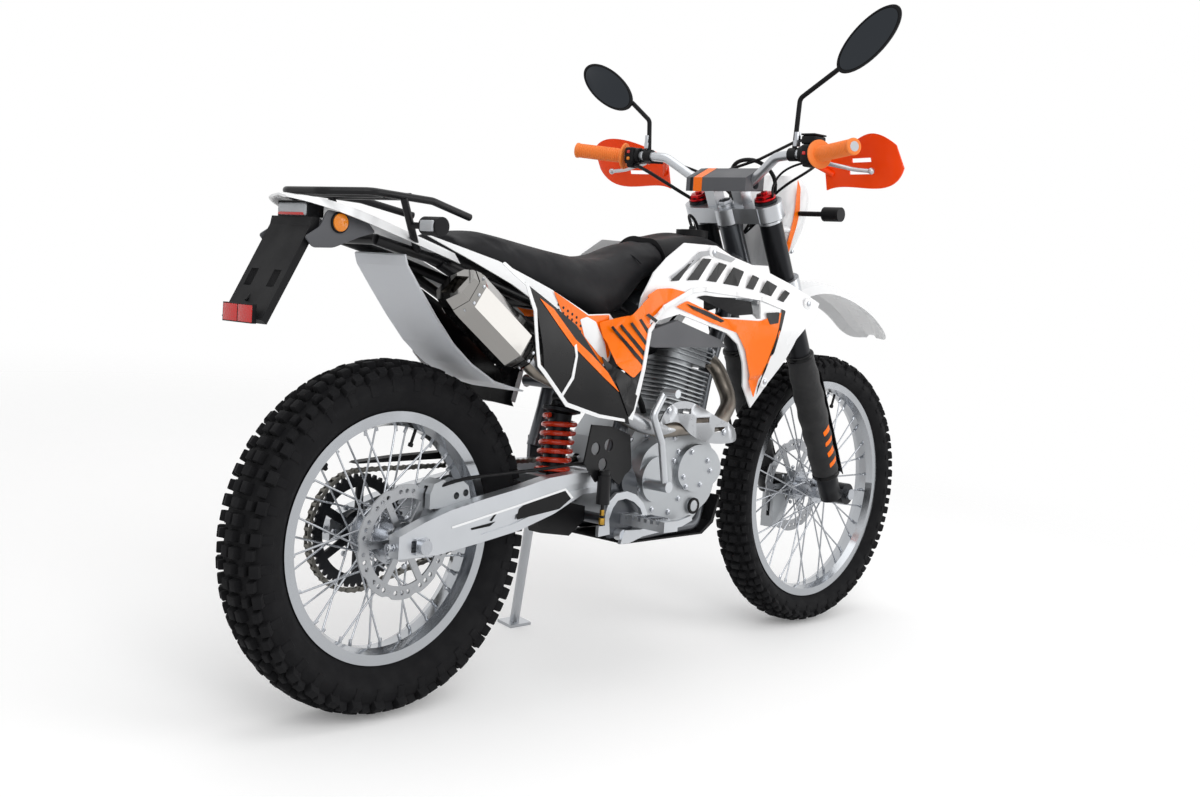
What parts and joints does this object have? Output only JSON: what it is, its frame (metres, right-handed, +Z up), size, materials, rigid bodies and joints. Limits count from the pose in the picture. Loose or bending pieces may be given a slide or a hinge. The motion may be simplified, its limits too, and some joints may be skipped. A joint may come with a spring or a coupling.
{
  "type": "enduro motorcycle",
  "caption": "Road-legal enduro motorcycle leaning on its side stand, with spoked wheels on knobbly tyres, long-travel fork, steering, spinning wheels and a folding stand.",
  "frame": {"origin": "rear tyre's contact line on the floor, below the rear axle", "axes": "+X forward, +Y to the rider's left, +Z up; the bike leans 8 degrees to its left, onto the side stand"},
  "size_m": [2.1103, 0.9082, 1.5217],
  "materials": {
    "black_metal": "satin",
    "black_plastic": "satin",
    "clear_lamp": "gloss",
    "flap_sheet": "satin",
    "grey_plastic": "satin",
    "grip_rubber": "matte",
    "gunmetal": "satin",
    "polished": "polished",
    "red_orange": "satin",
    "seat_cover": "matte",
    "silver": "satin",
    "sock_fabric": "matte",
    "spring_paint": "gloss",
    "steel": "satin",
    "tyre": "matte",
    "white_panel": "gloss"
  },
  "bodies": {
    "frame": {"brake_master": "black_metal", "chain_guard": "black_plastic", "drive_chain": "steel", "engine_cases": "silver", "engine_cylinder": "silver", "exhaust_header": "steel", "foot_controls": "steel", "frame_cradle": "gunmetal", "fuel_tank": "black_plastic", "intake_airbox": "black_plastic", "luggage_rack": "black_metal", "mud_flap": "flap_sheet", "plate_bracket": "black_plastic", "rear_axle": "steel", "rear_caliper": "silver", "rear_fender": "white_panel", "rear_lamps": "clear_lamp", "seat": "seat_cover", "shock_absorber": "spring_paint", "shock_linkage": "black_metal", "side_panels": "black_plastic", "silencer": "polished", "skid_plate": "black_plastic", "subframe": "gunmetal", "swingarm": "silver", "tail_panels": "white_panel", "tank_covers": "grey_plastic", "tank_shrouds": "white_panel"},
    "steering": {"triple_clamps": "silver", "fork_tubes": "black_metal", "fork_lowers": "sock_fabric", "fork_guards": "grey_plastic", "front_axle": "steel", "handlebar": "silver", "bar_pad": "grey_plastic", "grips": "grip_rubber", "hand_guards": "red_orange", "switchgear": "black_plastic", "mirrors": "black_plastic", "headlamp_mask": "white_panel", "front_lamps": "clear_lamp", "front_fender": "white_panel", "front_caliper": "silver", "brake_hose": "black_plastic"},
    "rear_wheel": {"rear_tyre": "tyre", "rear_rim": "silver", "rear_hub": "silver", "rear_disc": "steel", "rear_sprocket": "black_metal"},
    "front_wheel": {"front_tyre": "tyre", "front_rim": "silver", "front_hub": "silver", "front_disc": "steel"},
    "side_stand": {"side_stand": "silver"}
  },
  "joints": [
    {"name": "rear_wheel_spin", "type": "hinge", "parent": "frame", "child": "rear_wheel", "pos_m": [0, 0.02553, 0.33975], "axis": [0, 0.9903, -0.1392], "continuous": true},
    {"name": "steering", "type": "hinge", "parent": "frame", "child": "steering", "pos_m": [1, 0.12156, 1.02304], "axis": [-0.454, 0.124, 0.8823], "range_deg": [-42, 42]},
    {"name": "front_wheel_spin", "type": "hinge", "parent": "steering", "child": "front_wheel", "pos_m": [1.423, 0.02651, 0.34669], "axis": [0, 0.9903, -0.1392], "continuous": true},
    {"name": "side_stand_swing", "type": "hinge", "parent": "frame", "child": "side_stand", "pos_m": [0.552, 0.16851, 0.27927], "axis": [0.1101, 0.9504, 0.2909], "range_deg": [0, 100]}
  ]
}
